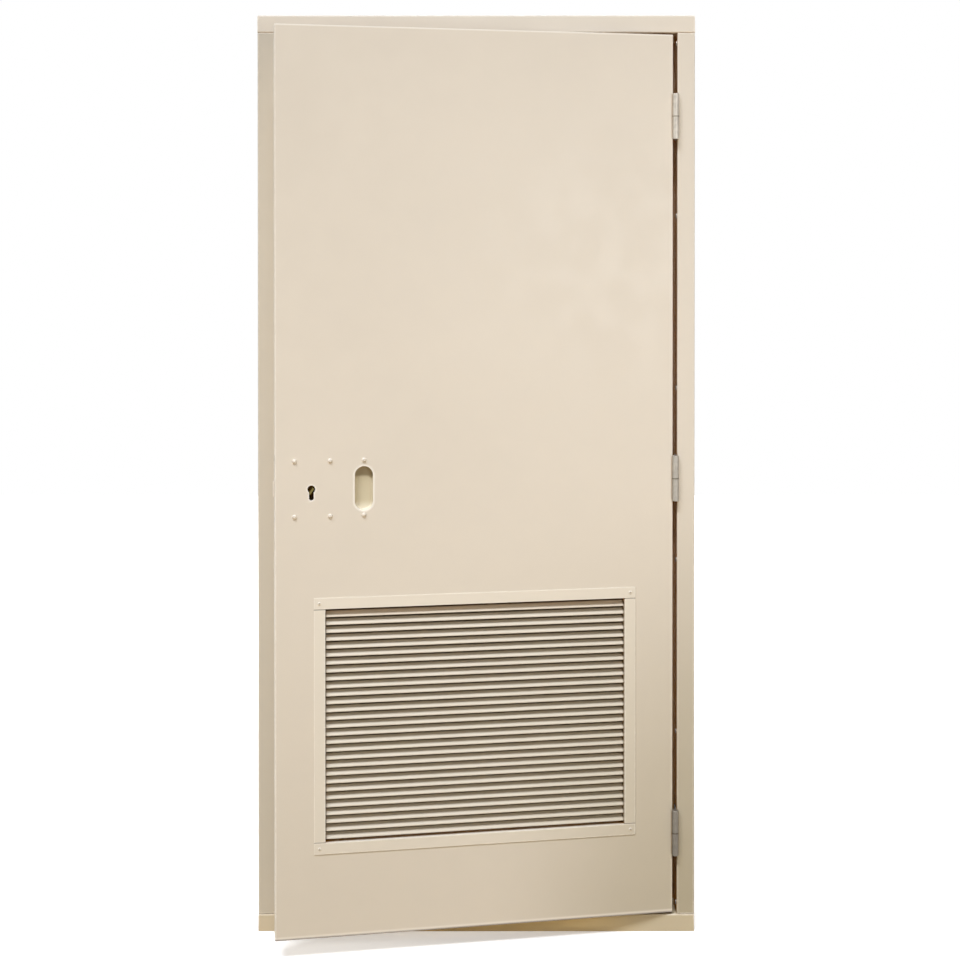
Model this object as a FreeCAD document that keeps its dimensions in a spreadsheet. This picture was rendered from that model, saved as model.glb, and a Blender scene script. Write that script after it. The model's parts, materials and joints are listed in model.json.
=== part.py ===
import FreeCAD, Part
import Sketcher
import math
import os
import re

# Steel utility door: pressed-steel frame and a louvred flush leaf hung on three lift-off hinges.
# Row frame: +X to the hinge side, +Y to the rear, +Z up, origin at the middle of the sill's underside.
# The leaf stands ajar by ajar_angle. Its pieces are drawn with the hinge axis as local Z and z = 0 at
# the leaf's lower edge.

SIZES = {
    # frame, a pressed section with one rebate
    "frame_width": 1000.0,
    "frame_height": 2100.0,
    "frame_depth": 110.0,
    "face_width": 40.0,
    "rebate_depth": 50.0,
    "stop_height": 16.0,
    "return_lip": 12.0,
    "frame_gauge": 1.5,
    "bend_radius": 3.0,
    "corner_seam": 0.6,
    # wall fixings and keep in the frame
    "fixing_count": 6,
    "fixing_end": 22.0,
    "fixing_inset": 14.0,
    "fixing_radius": 4.0,
    "keep_width": 26.0,
    "keep_length": 120.0,
    "keep_mouth_width": 16.0,
    "keep_mouth_length": 40.0,
    # leaf, a folded front pan closed by a flat rear sheet
    "ajar_angle": 10.0,
    "leaf_thickness": 45.0,
    "hinge_gap": 9.0,
    "lock_gap": 8.0,
    "head_gap": 5.0,
    "sill_gap": 5.0,
    "skin_gauge": 1.5,
    "edge_radius": 2.0,
    "channel_depth": 20.0,
    # louvre panel
    "louvre_lock_margin": 85.0,
    "louvre_hinge_margin": 88.5,
    "louvre_height": 566.0,
    "louvre_bottom": 184.5,
    "flange_width": 25.0,
    "louvre_gauge": 1.5,
    "louvre_seam": 0.5,
    "blade_count": 29,
    "blade_gap": 7.0,
    "blade_headroom": 1.0,
    "blade_lip": 2.0,
    "blade_rise": 15.5,
    "blade_drop": 1.6,
    "blade_gauge": 1.2,
    "blade_setback": 3.0,
    # lock
    "lock_height": 990.0,
    "lock_box_width": 135.0,
    "lock_box_height": 160.0,
    "keyhole_backset": 80.0,
    "keyhole_radius": 8.5,
    "keyhole_slot": 10.0,
    "keyhole_height": 33.0,
    "forend_width": 24.0,
    "forend_length": 150.0,
    "forend_gauge": 3.0,
    "bolt_width": 12.0,
    "bolt_height": 34.0,
    "bolt_proud": 3.0,
    "bolt_clearance": 0.5,
    "bolt_round": 1.5,
    # flush pull
    "pull_offset": 195.5,
    "pull_width": 40.0,
    "pull_height": 97.0,
    "pull_depth": 12.5,
    "pull_floor_radius": 4.0,
    "pull_rim_radius": 0.8,
    "pull_block_width": 110.0,
    "cup_gauge": 1.2,
    # hinges
    "hinge_top_drop": 231.5,
    "hinge_middle_height": 1041.5,
    "hinge_bottom_height": 229.0,
    "hinge_length": 104.0,
    "knuckle_radius": 7.7,
    "knuckle_offset": 6.0,
    "knuckle_round": 1.2,
    "washer_radius": 8.0,
    "washer_gauge": 2.0,
    "washer_clearance": 0.2,
    "pin_radius": 4.0,
    "pin_clearance": 0.05,
    "pin_end": 6.0,
    "pin_headroom": 0.5,
    "plate_gauge": 2.5,
    "plate_reach": 38.0,
    "plate_clear": 1.0,
}

DERIVED = {
    "jamb_base": "face_width + corner_seam",
    "jamb_length": "frame_height - 2 * jamb_base",
    "through_sheet": "4 * frame_gauge",
    "fixing_pitch": "(jamb_length - 2 * fixing_end) / (fixing_count - 1)",
    "leaf_width": "frame_width - 2 * face_width - hinge_gap - lock_gap",
    "leaf_height": "frame_height - 2 * face_width - head_gap - sill_gap",
    "leaf_rise": "face_width + sill_gap",
    "through_leaf": "2 * leaf_thickness",
    "lock_rise": "leaf_rise + lock_height - jamb_base",
    "keep_low": "lock_rise - keep_length / 2",
    "keep_high": "lock_rise + keep_length / 2",
    "keep_front": "leaf_thickness / 2 - keep_width / 2",
    "keep_rear": "leaf_thickness / 2 + keep_width / 2",
    "axis_x": "frame_width / 2 - face_width - hinge_gap / 2",
    "axis_y": "-frame_depth / 2 - knuckle_offset",
    "hinge_edge": "-hinge_gap / 2",
    "lock_edge": "hinge_edge - leaf_width",
    "leaf_front": "knuckle_offset",
    "leaf_middle": "knuckle_offset + leaf_thickness / 2",
    "leaf_back": "knuckle_offset + leaf_thickness",
    "core_front": "leaf_front + skin_gauge",
    "core_back": "leaf_back - skin_gauge",
    "core_left": "lock_edge + skin_gauge",
    "core_right": "hinge_edge - skin_gauge",
    "core_base": "channel_depth",
    "core_crown": "leaf_height - channel_depth",
    "louvre_left": "lock_edge + louvre_lock_margin",
    "louvre_right": "hinge_edge - louvre_hinge_margin",
    "louvre_top": "louvre_bottom + louvre_height",
    "clear_left": "louvre_left + flange_width",
    "clear_right": "louvre_right - flange_width",
    "clear_bottom": "louvre_bottom + flange_width",
    "clear_top": "louvre_top - flange_width",
    "cut_left": "clear_left - louvre_gauge",
    "cut_right": "clear_right + louvre_gauge",
    "cut_bottom": "clear_bottom - louvre_gauge",
    "cut_top": "clear_top + louvre_gauge",
    "blade_front": "leaf_front + blade_setback",
    "blade_back": "leaf_back - blade_setback",
    "blade_slope": "blade_rise / (leaf_middle - blade_front)",
    "blade_under": "blade_slope * blade_gauge - blade_drop",
    "blade_base": "clear_bottom + blade_gap + blade_lip",
    "blade_pitch": "(clear_top - blade_headroom - blade_rise - blade_base) / (blade_count - 1)",
    "keyhole_x": "lock_edge + keyhole_backset",
    "keyhole_low": "lock_height + keyhole_radius - keyhole_height + keyhole_slot / 2",
    "pull_x": "lock_edge + pull_offset",
    "band_bottom": "lock_height - lock_box_height / 2",
    "band_top": "lock_height + lock_box_height / 2",
    "lock_box_end": "lock_edge + lock_box_width",
    "pull_block_end": "lock_box_end + pull_block_width",
    "hinge_top_height": "frame_height - hinge_top_drop",
    "strap_front": "knuckle_radius + plate_clear",
    "strap_back": "knuckle_offset + plate_reach",
    "knuckle_height": "(hinge_length - washer_gauge) / 2 - washer_clearance",
    "upper_knuckle": "hinge_length - knuckle_height",
    "pin_length": "hinge_length - pin_end",
}

TOUCH = 0.01
ALIAS = re.compile(r"\b[a-z]+(?:_[a-z]+)+\b")

doc = FreeCAD.newDocument("utility_door")
sheet = doc.addObject("Spreadsheet::Sheet", "Sheet")
sub_parts = []


def fill_sheet():
    """Write the driving dimensions as numbers and the worked-out ones as formulas."""
    rows = [(name, str(number)) for name, number in SIZES.items()]
    rows += [(name, "=" + formula) for name, formula in DERIVED.items()]
    for row, (name, text) in enumerate(rows, start=1):
        sheet.set(f"A{row}", name)
        sheet.set(f"B{row}", text)
        sheet.setAlias(f"B{row}", name)
    doc.recompute()


def bound(text):
    """Turn plain size names into references to the sheet's cells."""
    return ALIAS.sub(lambda found: "Sheet." + found.group(0), text)


def value(text):
    """Work out an expression on the sheet as a plain number."""
    return float(sheet.evalExpression(bound(text)))


def tie(item, prop, text):
    """Bind one property of an object to an expression on the sheet."""
    item.setExpression(prop, bound(text))


def place(item, base, axis=(0, 0, 1), turn="0"):
    """Give a sub-part its tied position and its turn about an axis."""
    item.Placement = FreeCAD.Placement(FreeCAD.Vector(), FreeCAD.Rotation(FreeCAD.Vector(*axis), 1))
    for name, text in zip("xyz", base):
        tie(item, f"Placement.Base.{name}", text)
    tie(item, "Placement.Rotation.Angle", turn)


def place_on_leaf(item):
    """Hang a leaf sub-part on the hinge axis at the ajar angle."""
    place(item, ("axis_x", "axis_y", "leaf_rise"), turn="ajar_angle")


def new_body(label):
    """Start a body and list it as a sub-part."""
    body = doc.addObject("PartDesign::Body", label)
    body.Label = label
    sub_parts.append(body)
    return body


def new_sketch(body, plane, offset):
    """Attach an empty sketch to one of the body's own planes, moved along that plane's normal."""
    support = next(item for item in body.Origin.OriginFeatures if item.Role == plane)
    sketch = body.newObject("Sketcher::SketchObject", body.Label + "_sketch")
    sketch.AttachmentSupport = [(support, "")]
    sketch.MapMode = "FlatFace"
    tie(sketch, "AttachmentOffset.Base.z", offset)
    return sketch


def hold(sketch, kind, geometry, point, text):
    """Add one dimension to a sketch, tied to the sheet."""
    index = sketch.addConstraint(Sketcher.Constraint(kind, geometry, point, value(text)))
    tie(sketch, f"Constraints[{index}]", text)


def draw_loop(sketch, points):
    """Draw a closed run of straight lines through tied points."""
    first = sketch.GeometryCount
    count = len(points)
    corners = [FreeCAD.Vector(value(x), value(y), 0) for x, y in points]
    for i in range(count):
        sketch.addGeometry(Part.LineSegment(corners[i], corners[(i + 1) % count]), False)
    for i in range(count):
        joint = Sketcher.Constraint("Coincident", first + i, 2, first + (i + 1) % count, 1)
        sketch.addConstraint(joint)
    for i, (x, y) in enumerate(points):
        hold(sketch, "DistanceX", first + i, 1, x)
        hold(sketch, "DistanceY", first + i, 1, y)


def draw_box(sketch, low, high):
    """Draw a rectangle between two tied corners."""
    draw_loop(sketch, [low, (high[0], low[1]), high, (low[0], high[1])])


def draw_circle(sketch, centre, radius):
    """Draw a circle with a tied centre and radius."""
    middle = FreeCAD.Vector(value(centre[0]), value(centre[1]), 0)
    index = sketch.addGeometry(Part.Circle(middle, FreeCAD.Vector(0, 0, 1), value(radius)), False)
    hold(sketch, "DistanceX", index, 3, centre[0])
    hold(sketch, "DistanceY", index, 3, centre[1])
    size = sketch.addConstraint(Sketcher.Constraint("Radius", index, value(radius)))
    tie(sketch, f"Constraints[{size}]", radius)


def draw_slot(sketch, x, low, high, radius):
    """Draw an upright slot with round ends centred at the heights low and high."""
    normal = FreeCAD.Vector(0, 0, 1)
    reach, left, right = value(radius), value(x) - value(radius), value(x) + value(radius)
    upper = FreeCAD.Vector(value(x), value(high), 0)
    lower = FreeCAD.Vector(value(x), value(low), 0)
    arcs = (Part.ArcOfCircle(Part.Circle(upper, normal, reach), 0, math.pi),
            Part.ArcOfCircle(Part.Circle(lower, normal, reach), math.pi, 2 * math.pi))
    lines = (Part.LineSegment(FreeCAD.Vector(left, upper.y, 0), FreeCAD.Vector(left, lower.y, 0)),
             Part.LineSegment(FreeCAD.Vector(right, lower.y, 0), FreeCAD.Vector(right, upper.y, 0)))
    for curve in arcs + lines:
        sketch.addGeometry(curve, False)
    for joint in ((0, 2, 2, 1), (2, 2, 1, 1), (1, 2, 3, 1), (3, 2, 0, 1)):
        sketch.addConstraint(Sketcher.Constraint("Tangent", *joint))
    sketch.addConstraint(Sketcher.Constraint("Equal", 0, 1))
    sketch.addConstraint(Sketcher.Constraint("Vertical", 2))
    hold(sketch, "DistanceX", 0, 3, x)
    hold(sketch, "DistanceY", 0, 3, high)
    hold(sketch, "DistanceY", 1, 3, low)
    size = sketch.addConstraint(Sketcher.Constraint("Radius", 0, reach))
    tie(sketch, f"Constraints[{size}]", radius)


def pad(body, sketch, length):
    """Raise a sketch along its normal by a tied length."""
    feature = body.newObject("PartDesign::Pad", body.Label + "_pad")
    feature.Profile = sketch
    tie(feature, "Length", length)
    body.Tip = feature
    doc.recompute()
    return feature


def pocket(body, sketch, length):
    """Cut a sketch equally to both sides of its plane, by a tied length in all."""
    before = body.Shape.Volume
    feature = body.newObject("PartDesign::Pocket", body.Label + "_pocket")
    feature.Profile = sketch
    feature.SideType = "Symmetric"
    tie(feature, "Length", length)
    body.Tip = feature
    doc.recompute()
    if body.Shape.Volume >= before:
        raise RuntimeError(f"{feature.Label} cuts nothing")
    return feature


def round_edges(body, radius, wanted):
    """Round those edges of a body that the test called wanted picks out."""
    base = body.Tip
    edges = enumerate(base.Shape.Edges, start=1)
    names = [f"Edge{number}" for number, edge in edges if wanted(edge.BoundBox)]
    feature = body.newObject("PartDesign::Fillet", body.Label + "_rounding")
    feature.Base = (base, names)
    tie(feature, "Radius", radius)
    body.Tip = feature
    doc.recompute()


def round_bends(body, radius, corners):
    """Round the bends of a sheet that run along local Z through the given corners."""
    spots = [(value(x), value(y)) for x, y in corners]

    def at_a_bend(box):
        upright = box.ZLength > box.XLength + box.YLength
        return upright and any(math.hypot(box.Center.x - x, box.Center.y - y) < TOUCH for x, y in spots)

    round_edges(body, radius, at_a_bend)


def prism(body, plane, low, high, start, stop):
    """Add a rectangular bar that runs along the plane's normal from start to stop."""
    sketch = new_sketch(body, plane, start)
    draw_box(sketch, low, high)
    pad(body, sketch, f"({stop}) - ({start})")


def frame_section():
    """List the pressed section's show side and its inner side, from lip to lip.

    The first number is the distance from the wall side, the second the depth from the front face.
    """
    show = [("0", "return_lip"), ("0", "0"), ("face_width", "0"), ("face_width", "rebate_depth"),
            ("face_width + stop_height", "rebate_depth"), ("face_width + stop_height", "frame_depth"),
            ("0", "frame_depth"), ("0", "frame_depth - return_lip")]
    inner = [("frame_gauge", "return_lip"), ("frame_gauge", "frame_gauge"),
             ("face_width - frame_gauge", "frame_gauge"),
             ("face_width - frame_gauge", "rebate_depth + frame_gauge"),
             ("face_width + stop_height - frame_gauge", "rebate_depth + frame_gauge"),
             ("face_width + stop_height - frame_gauge", "frame_depth - frame_gauge"),
             ("frame_gauge", "frame_depth - frame_gauge"),
             ("frame_gauge", "frame_depth - return_lip")]
    return show, inner


def frame_member(label, length):
    """Press one length of the frame section along local Z, with rounded bends."""
    show, inner = frame_section()
    body = new_body(label)
    sketch = new_sketch(body, "XY_Plane", "0")
    draw_loop(sketch, show + inner[::-1])
    pad(body, sketch, length)
    turned_in = 3
    convex = [i for i in range(1, len(show) - 1) if i != turned_in]
    round_bends(body, "bend_radius", [show[i] for i in convex] + [inner[turned_in]])
    round_bends(body, "bend_radius - frame_gauge", [inner[i] for i in convex] + [show[turned_in]])
    return body


def jamb(label):
    """Make a jamb: its stop is coped over the head and sill stops, and its rebate takes wall fixings."""
    body = frame_member(label, "jamb_length")
    cope = new_sketch(body, "YZ_Plane", "0")
    stop_start = "rebate_depth"
    draw_box(cope, (stop_start, "0"), ("frame_depth", "stop_height"))
    draw_box(cope, (stop_start, "jamb_length - stop_height"), ("frame_depth", "jamb_length"))
    pocket(body, cope, "2 * frame_width")
    hole = new_sketch(body, "YZ_Plane", "face_width")
    draw_circle(hole, ("fixing_inset", "fixing_end"), "fixing_radius")
    drilled = pocket(body, hole, "through_sheet")
    row = body.newObject("PartDesign::LinearPattern", label + "_fixings")
    row.Originals = [drilled]
    row.Direction = (hole, ["V_Axis"])
    tie(row, "Length", "fixing_pitch * (fixing_count - 1)")
    tie(row, "Occurrences", "fixing_count")
    body.Tip = row
    doc.recompute()
    return body


def build_frame():
    """Make the four frame members and the keep plate."""
    left = jamb("lock_jamb")
    window = new_sketch(left, "YZ_Plane", "face_width")
    draw_box(window, ("keep_front", "keep_low"), ("keep_rear", "keep_high"))
    pocket(left, window, "through_sheet")
    left_base = ("-frame_width / 2", "-frame_depth / 2", "jamb_base")
    place(left, left_base)

    right = jamb("hinge_jamb")
    place(right, ("frame_width / 2", "-frame_depth / 2", "frame_height - jamb_base"), (0, 1, 0), "180")

    head = frame_member("head", "frame_width")
    place(head, ("-frame_width / 2", "-frame_depth / 2", "frame_height"), (0, 1, 0), "90")

    sill = new_body("sill")
    tube = new_sketch(sill, "XY_Plane", "0")
    step, top, gauge = "rebate_depth", "face_width + stop_height", "frame_gauge"
    draw_loop(tube, [("0", "0"), ("face_width", "0"), ("face_width", step), (top, step),
                     (top, "frame_depth"), ("0", "frame_depth")])
    draw_loop(tube, [(gauge, gauge), ("face_width - frame_gauge", gauge),
                     ("face_width - frame_gauge", "rebate_depth + frame_gauge"),
                     ("face_width + stop_height - frame_gauge", "rebate_depth + frame_gauge"),
                     ("face_width + stop_height - frame_gauge", "frame_depth - frame_gauge"),
                     (gauge, "frame_depth - frame_gauge")])
    pad(sill, tube, "frame_width")
    round_bends(sill, "bend_radius", [("face_width", "0"), (top, step), (top, "frame_depth")])
    place(sill, ("frame_width / 2", "-frame_depth / 2", "0"), (0, 1, 0), "-90")

    keep = new_body("keep_plate")
    plate = new_sketch(keep, "YZ_Plane", "face_width - frame_gauge")
    draw_box(plate, ("keep_front", "keep_low"), ("keep_rear", "keep_high"))
    draw_box(plate, ("leaf_thickness / 2 - keep_mouth_width / 2", "lock_rise - keep_mouth_length / 2"),
             ("leaf_thickness / 2 + keep_mouth_width / 2", "lock_rise + keep_mouth_length / 2"))
    pad(keep, plate, "frame_gauge")
    place(keep, left_base)


def cut_louvre(body):
    """Cut the louvre's window through a skin of the leaf."""
    window = new_sketch(body, "XZ_Plane", "-leaf_middle")
    draw_box(window, ("cut_left", "cut_bottom"), ("cut_right", "cut_top"))
    pocket(body, window, "through_leaf")


def cut_keyhole(body):
    """Cut the round of the keyhole, then the narrower slot below it."""
    ring = new_sketch(body, "XZ_Plane", "-leaf_middle")
    draw_circle(ring, ("keyhole_x", "lock_height"), "keyhole_radius")
    pocket(body, ring, "through_leaf")
    slot = new_sketch(body, "XZ_Plane", "-leaf_middle")
    draw_slot(slot, "keyhole_x", "keyhole_low", "lock_height", "keyhole_slot / 2")
    pocket(body, slot, "through_leaf")


def draw_pull(sketch, growth):
    """Draw the flush pull's upright slot, grown all round by a tied amount."""
    rise = "(pull_height - pull_width) / 2"
    low, high = f"lock_height - {rise}", f"lock_height + {rise}"
    draw_slot(sketch, "pull_x", low, high, f"pull_width / 2 + {growth}")


def build_skins():
    """Fold the front pan, cut its openings, and close it with the rear sheet."""
    front = new_body("front_skin")
    fold = new_sketch(front, "XY_Plane", "0")
    draw_loop(fold, [("lock_edge", "leaf_back"), ("lock_edge", "leaf_front"), ("hinge_edge", "leaf_front"),
                     ("hinge_edge", "leaf_back"), ("core_right", "leaf_back"), ("core_right", "core_front"),
                     ("core_left", "core_front"), ("core_left", "leaf_back")])
    pad(front, fold, "leaf_height")
    round_bends(front, "edge_radius", [("lock_edge", "leaf_front"), ("hinge_edge", "leaf_front")])
    cut_louvre(front)
    cut_keyhole(front)
    grip = new_sketch(front, "XZ_Plane", "-leaf_middle")
    draw_pull(grip, "0")
    pocket(front, grip, "through_leaf")
    grip_x, grip_z, face = value("pull_x"), value("lock_height"), value("leaf_front")
    half_width, half_height = value("pull_width / 2"), value("pull_height / 2")

    def round_the_grip(box):
        beside = max(abs(box.XMin - grip_x), abs(box.XMax - grip_x)) < half_width + TOUCH
        level = max(abs(box.ZMin - grip_z), abs(box.ZMax - grip_z)) < half_height + TOUCH
        return beside and level and max(abs(box.YMin - face), abs(box.YMax - face)) < TOUCH

    round_edges(front, "pull_rim_radius", round_the_grip)
    mouth = new_sketch(front, "YZ_Plane", "lock_edge")
    draw_box(mouth, ("leaf_middle - forend_width / 2", "lock_height - forend_length / 2"),
             ("leaf_middle + forend_width / 2", "lock_height + forend_length / 2"))
    pocket(front, mouth, "through_sheet")
    place_on_leaf(front)

    back = new_body("back_skin")
    prism(back, "XY_Plane", ("core_left", "core_back"), ("core_right", "leaf_back"), "0", "leaf_height")
    cut_louvre(back)
    place_on_leaf(back)


def build_channels():
    """Close the leaf's top and bottom with channels whose open side faces out."""
    for label, web_low, web_high, rim_low, rim_high in (
            ("top_channel", "core_crown", "core_crown + skin_gauge", "core_crown", "leaf_height"),
            ("bottom_channel", "core_base - skin_gauge", "core_base", "0", "core_base")):
        body = new_body(label)
        prism(body, "YZ_Plane", ("core_front", web_low), ("core_back", web_high), "core_left", "core_right")
        prism(body, "YZ_Plane", ("core_front", rim_low), ("core_front + skin_gauge", rim_high),
              "core_left", "core_right")
        prism(body, "YZ_Plane", ("core_back - skin_gauge", rim_low), ("core_back", rim_high),
              "core_left", "core_right")
        place_on_leaf(body)


def core_board(label, left, right, low, high):
    """Make one filling board between the skins."""
    body = new_body(label)
    prism(body, "XY_Plane", (left, "core_front"), (right, "core_back"), low, high)
    return body


def build_core():
    """Fill the leaf with boards laid round the louvre, the lock box and the pull."""
    place_on_leaf(core_board("core_below_louvre", "core_left", "core_right", "core_base", "cut_bottom"))
    place_on_leaf(core_board("core_lock_stile", "core_left", "cut_left", "cut_bottom", "cut_top"))
    place_on_leaf(core_board("core_hinge_stile", "cut_right", "core_right", "cut_bottom", "cut_top"))
    place_on_leaf(core_board("core_above_louvre", "core_left", "core_right", "cut_top", "band_bottom"))
    place_on_leaf(core_board("core_beside_pull", "pull_block_end", "core_right", "band_bottom", "band_top"))
    place_on_leaf(core_board("core_upper", "core_left", "core_right", "band_top", "core_crown"))
    around = core_board("core_round_pull", "lock_box_end", "pull_block_end", "band_bottom", "band_top")
    seat = new_sketch(around, "XZ_Plane", "-leaf_front")
    draw_pull(seat, "cup_gauge")
    pocket(around, seat, "2 * (pull_depth + cup_gauge)")
    place_on_leaf(around)


def build_pull():
    """Press the flush pull's cup, open to the front, with a rounded floor."""
    body = new_body("pull_cup")
    outside = new_sketch(body, "XZ_Plane", "-(leaf_front + pull_depth + cup_gauge)")
    draw_pull(outside, "cup_gauge")
    pad(body, outside, "pull_depth + cup_gauge - skin_gauge")
    inside = new_sketch(body, "XZ_Plane", "-leaf_front")
    draw_pull(inside, "0")
    pocket(body, inside, "2 * pull_depth")
    floor_depth = value("leaf_front + pull_depth")

    def on_the_floor(box):
        return box.YLength < TOUCH and abs(box.Center.y - floor_depth) < TOUCH

    round_edges(body, "pull_floor_radius", on_the_floor)
    place_on_leaf(body)


def build_lock():
    """Make the lock box behind the keyhole, its forend on the leaf's edge and the drawn bolt's nose."""
    box = new_body("lock_box")
    prism(box, "XY_Plane", ("lock_edge + forend_gauge", "core_front"), ("lock_box_end", "core_back"),
          "band_bottom", "band_top")
    cut_keyhole(box)
    place_on_leaf(box)

    forend = new_body("lock_forend")
    plate = new_sketch(forend, "YZ_Plane", "lock_edge")
    draw_box(plate, ("leaf_middle - forend_width / 2", "lock_height - forend_length / 2"),
             ("leaf_middle + forend_width / 2", "lock_height + forend_length / 2"))
    mouth_width, mouth_height = "(bolt_width / 2 + bolt_clearance)", "(bolt_height / 2 + bolt_clearance)"
    draw_box(plate, (f"leaf_middle - {mouth_width}", f"lock_height - {mouth_height}"),
             (f"leaf_middle + {mouth_width}", f"lock_height + {mouth_height}"))
    pad(forend, plate, "forend_gauge")
    place_on_leaf(forend)

    bolt = new_body("dead_bolt")
    prism(bolt, "YZ_Plane", ("leaf_middle - bolt_width / 2", "lock_height - bolt_height / 2"),
          ("leaf_middle + bolt_width / 2", "lock_height + bolt_height / 2"),
          "lock_edge - bolt_proud", "lock_edge + forend_gauge")
    nose = value("lock_edge - bolt_proud")

    def round_the_nose(box):
        return max(abs(box.XMin - nose), abs(box.XMax - nose)) < TOUCH

    round_edges(bolt, "bolt_round", round_the_nose)
    place_on_leaf(bolt)


def louvre_stile(label, face, web_start, web_stop, left, right, web_left, web_right):
    """Make an upright angle of the louvre: a flange on the skin and a web into the window."""
    body = new_body(label)
    low, high = "clear_bottom + louvre_seam", "clear_top - louvre_seam"
    prism(body, "XY_Plane", (left, face[0]), (right, face[1]), low, high)
    prism(body, "XY_Plane", (web_left, web_start), (web_right, web_stop), low, high)
    place_on_leaf(body)


def louvre_rail(label, face, web_start, web_stop, low, high, web_low, web_high):
    """Make a level angle of the louvre: its flange runs the full width, over the stiles' ends."""
    body = new_body(label)
    prism(body, "YZ_Plane", (face[0], low), (face[1], high), "louvre_left", "louvre_right")
    prism(body, "YZ_Plane", (web_start, web_low), (web_stop, web_high), "cut_left", "cut_right")
    place_on_leaf(body)


def build_louvre():
    """Frame the window with angles on both faces and fill it with bent blades."""
    front = ("front", ("leaf_front - louvre_gauge", "leaf_front"), "leaf_front - louvre_gauge", "leaf_middle")
    rear = ("rear", ("leaf_back", "leaf_back + louvre_gauge"), "leaf_middle", "leaf_back + louvre_gauge")
    for side, face, web_start, web_stop in (front, rear):
        louvre_rail(f"louvre_{side}_top_rail", face, web_start, web_stop,
                    "clear_top", "louvre_top", "clear_top", "cut_top")
        louvre_rail(f"louvre_{side}_bottom_rail", face, web_start, web_stop,
                    "louvre_bottom", "clear_bottom", "cut_bottom", "clear_bottom")
        louvre_stile(f"louvre_{side}_lock_stile", face, web_start, web_stop,
                     "louvre_left", "clear_left", "cut_left", "clear_left")
        louvre_stile(f"louvre_{side}_hinge_stile", face, web_start, web_stop,
                     "clear_right", "louvre_right", "clear_right", "cut_right")

    blades = new_body("louvre_blades")
    bend = new_sketch(blades, "YZ_Plane", "clear_left")
    foot = "blade_base - blade_lip"
    draw_loop(bend, [("blade_front", foot), ("blade_front", "blade_base"),
                     ("leaf_middle", "blade_base + blade_rise"), ("blade_back", "blade_base"),
                     ("blade_back", foot), ("blade_back - blade_gauge", foot),
                     ("blade_back - blade_gauge", "blade_base + blade_under"),
                     ("leaf_middle", "blade_base + blade_rise - blade_drop"),
                     ("blade_front + blade_gauge", "blade_base + blade_under"),
                     ("blade_front + blade_gauge", foot)])
    blade = pad(blades, bend, "clear_right - clear_left")
    stack = blades.newObject("PartDesign::LinearPattern", "louvre_stack")
    stack.Originals = [blade]
    stack.Direction = (bend, ["V_Axis"])
    tie(stack, "Length", "blade_pitch * (blade_count - 1)")
    tie(stack, "Occurrences", "blade_count")
    blades.Tip = stack
    doc.recompute()
    place_on_leaf(blades)


def knuckle(label, low, end):
    """Turn a hinge knuckle about the local Z axis from the height low, with a rounded rim at end."""
    body = new_body(label)
    barrel = new_sketch(body, "XY_Plane", low)
    draw_circle(barrel, ("0", "0"), "knuckle_radius")
    pad(body, barrel, "knuckle_height")
    rim = value(end)

    def at_the_end(box):
        return max(abs(box.ZMin - rim), abs(box.ZMax - rim)) < TOUCH

    round_edges(body, "knuckle_round", at_the_end)
    return body


def add_plate(body, outer, inner, low):
    """Add a hinge half's plate, which runs the full length clear of the other half's knuckle."""
    prism(body, "XY_Plane", (outer, "0"), (inner, "strap_front"), low, f"{low} + knuckle_height")
    prism(body, "XY_Plane", (outer, "strap_front"), (inner, "strap_back"), "0", "hinge_length")


def bore_knuckle(body, radius, mouth, depth):
    """Bore a knuckle for the pin from the height of its mouth, to a depth on both sides of it."""
    drill = new_sketch(body, "XY_Plane", mouth)
    draw_circle(drill, ("0", "0"), radius)
    pocket(body, drill, f"2 * ({depth})")


def ring(label, start, gauge, radius, bore):
    """Cut a flat ring about the local Z axis."""
    body = new_body(label)
    outline = new_sketch(body, "XY_Plane", start)
    draw_circle(outline, ("0", "0"), radius)
    draw_circle(outline, ("0", "0"), bore)
    pad(body, outline, gauge)
    return body


def build_hinges():
    """Make three lift-off hinges: lower half, pin and washer on the jamb, upper half on the leaf."""
    running_bore = "pin_radius + pin_clearance"
    for spot in ("top", "middle", "bottom"):
        foot = ("axis_x", "axis_y", f"hinge_{spot}_height - hinge_length / 2")
        lower = knuckle(f"{spot}_hinge_jamb_half", "0", "0")
        add_plate(lower, "hinge_gap / 2", "hinge_gap / 2 - plate_gauge", "0")
        bore_knuckle(lower, "pin_radius", "0", "knuckle_height")
        place(lower, foot)
        washer = ring(f"{spot}_hinge_washer", "knuckle_height", "washer_gauge", "washer_radius", running_bore)
        place(washer, foot)
        pin = new_body(f"{spot}_hinge_pin")
        shank = new_sketch(pin, "XY_Plane", "0")
        draw_circle(shank, ("0", "0"), "pin_radius")
        pad(pin, shank, "pin_length")
        place(pin, foot)
        upper = knuckle(f"{spot}_hinge_leaf_half", "upper_knuckle", "hinge_length")
        add_plate(upper, "-hinge_gap / 2", "plate_gauge - hinge_gap / 2", "upper_knuckle")
        bore_knuckle(upper, running_bore, "upper_knuckle", "pin_length + pin_headroom - upper_knuckle")
        place(upper, foot, turn="ajar_angle")


def check():
    """Stop if any object failed or any sub-part has no sound shape."""
    for item in doc.Objects:
        if "Invalid" in item.State or "Error" in item.State:
            raise RuntimeError(f"{item.Label} failed: {item.State}")
    for item in sub_parts:
        if item.Shape.isNull() or not item.Shape.isValid():
            raise RuntimeError(f"{item.Label} has no valid shape")


def write_parts():
    """Write each sub-part's shape to its own file."""
    os.makedirs("parts", exist_ok=True)
    for item in sub_parts:
        item.Shape.exportStep(os.path.join("parts", item.Label + ".step"))


fill_sheet()
build_frame()
build_skins()
build_channels()
build_core()
build_pull()
build_lock()
build_louvre()
build_hinges()
doc.recompute()
check()
write_parts()
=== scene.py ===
"""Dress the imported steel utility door: paint, plating, small fasteners, floor, light and camera."""

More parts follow.
